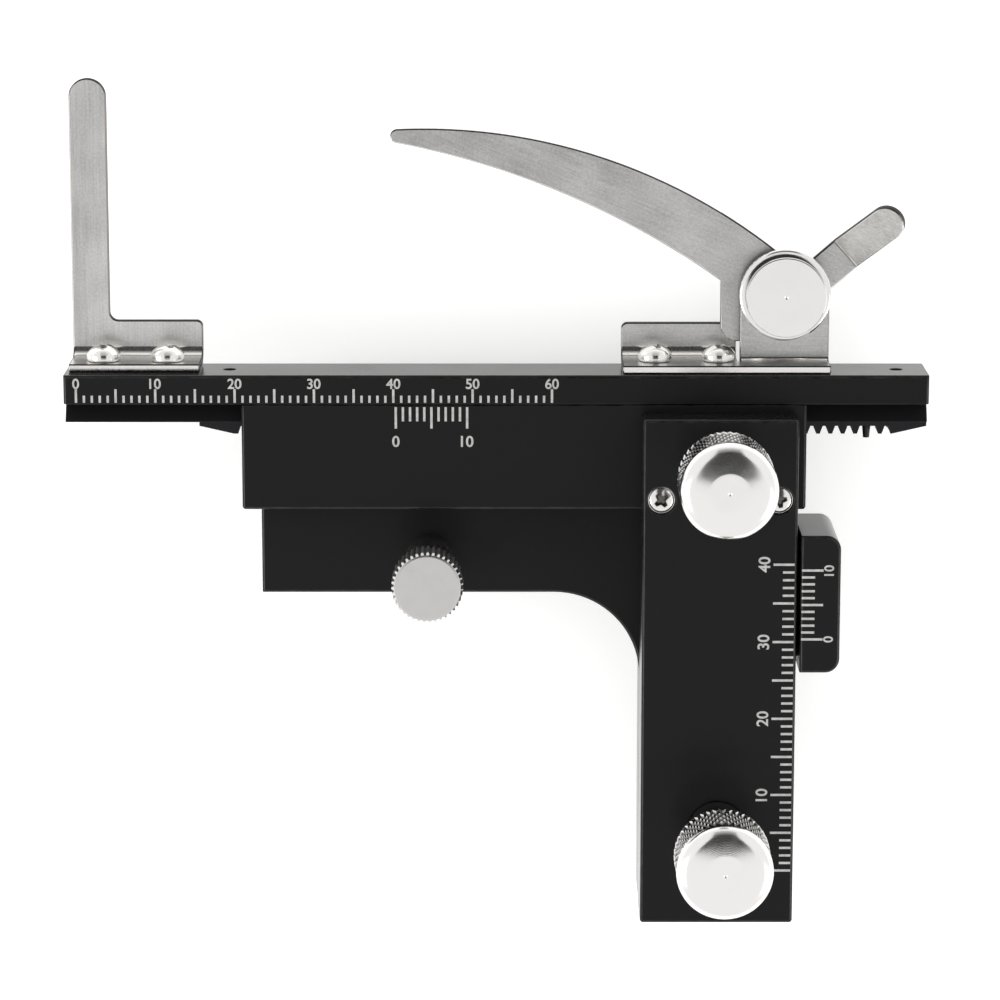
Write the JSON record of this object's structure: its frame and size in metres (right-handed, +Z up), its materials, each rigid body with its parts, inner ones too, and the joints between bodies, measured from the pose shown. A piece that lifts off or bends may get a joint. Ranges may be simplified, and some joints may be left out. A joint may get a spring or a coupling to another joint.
{
  "type": "mechanical microscope stage",
  "caption": "Attachable stage with an L-shaped base, geared X and Y slides, engraved scales, two drive knobs, a clamp screw, a fixed finger and a sprung slide-holding finger.",
  "frame": {"origin": "clamp screw's axis on the underside of the base plate", "axes": "+X along the X rail towards the leg's side, +Y from the leg towards the fingers, +Z up, away from the microscope's stage"},
  "size_m": [0.1092, 0.1067, 0.0447],
  "materials": {
    "black_finish": "satin",
    "blackened_steel": "satin",
    "dark_steel": "satin",
    "nickel_plate": "polished",
    "satin_sheet": "satin",
    "screw_steel": "polished"
  },
  "bodies": {
    "base": {"base_plate": "black_finish", "locating_pin_left": "blackened_steel", "locating_pin_right": "blackened_steel", "y_vernier_block": "black_finish", "vernier_block_screw_1": "screw_steel", "vernier_block_screw_2": "screw_steel", "y_rack": "dark_steel", "y_stop_screw": "screw_steel"},
    "clamp": {"clamp_screw": "nickel_plate"},
    "y_slide": {"slide_arm": "black_finish", "x_carriage": "black_finish", "arm_screw_1": "screw_steel", "arm_screw_2": "screw_steel", "x_pinion_bush": "black_finish", "y_pinion_bush": "black_finish"},
    "x_drive": {"x_knob": "nickel_plate", "x_pinion_shaft": "screw_steel"},
    "y_drive": {"y_knob": "nickel_plate", "y_pinion_shaft": "screw_steel"},
    "x_slide": {"x_rail": "black_finish", "x_rack": "dark_steel", "x_rack_screw_1": "screw_steel", "x_rack_screw_2": "screw_steel", "x_stop_pin": "dark_steel", "fixed_finger": "satin_sheet", "fixed_finger_screw_1": "screw_steel", "fixed_finger_screw_2": "screw_steel", "clamp_bracket": "satin_sheet", "clamp_bracket_screw_1": "screw_steel", "clamp_bracket_screw_2": "screw_steel", "spring_cap": "nickel_plate", "pivot_screw": "screw_steel", "finger_spacer": "screw_steel"},
    "finger": {"spring_finger": "satin_sheet"}
  },
  "joints": [
    {"name": "clamp_turn", "type": "hinge", "parent": "base", "child": "clamp", "pos_m": [0, 0, 0], "axis": [0, 0, 1], "continuous": true},
    {"name": "y_travel", "type": "slide", "parent": "base", "child": "y_slide", "axis": [0, 1, 0], "range_m": [0, 0.033]},
    {"name": "y_knob_turn", "type": "hinge", "parent": "y_slide", "child": "y_drive", "pos_m": [0.03665, -0.0336, 0.0265], "axis": [0, 0, 1], "range_deg": [-757, 1]},
    {"name": "x_travel", "type": "slide", "parent": "y_slide", "child": "x_slide", "axis": [1, 0, 0], "range_m": [-0.015, 0.04]},
    {"name": "x_knob_turn", "type": "hinge", "parent": "y_slide", "child": "x_drive", "pos_m": [0.03665, 0.01415, 0.0265], "axis": [0, 0, 1], "range_deg": [-917, 344]},
    {"name": "finger_swing", "type": "hinge", "parent": "x_slide", "child": "finger", "pos_m": [0.04515, 0.0336, 0.0022], "axis": [0, 0, 1], "range_deg": [-50, 0], "stiffness_Nm_per_rad": 0.04, "springref_deg": 34.38}
  ],
  "couplings": [
    {"joint": "y_knob_turn", "follows": "y_travel", "rad_per_m": -400},
    {"joint": "x_knob_turn", "follows": "x_travel", "rad_per_m": -400}
  ]
}
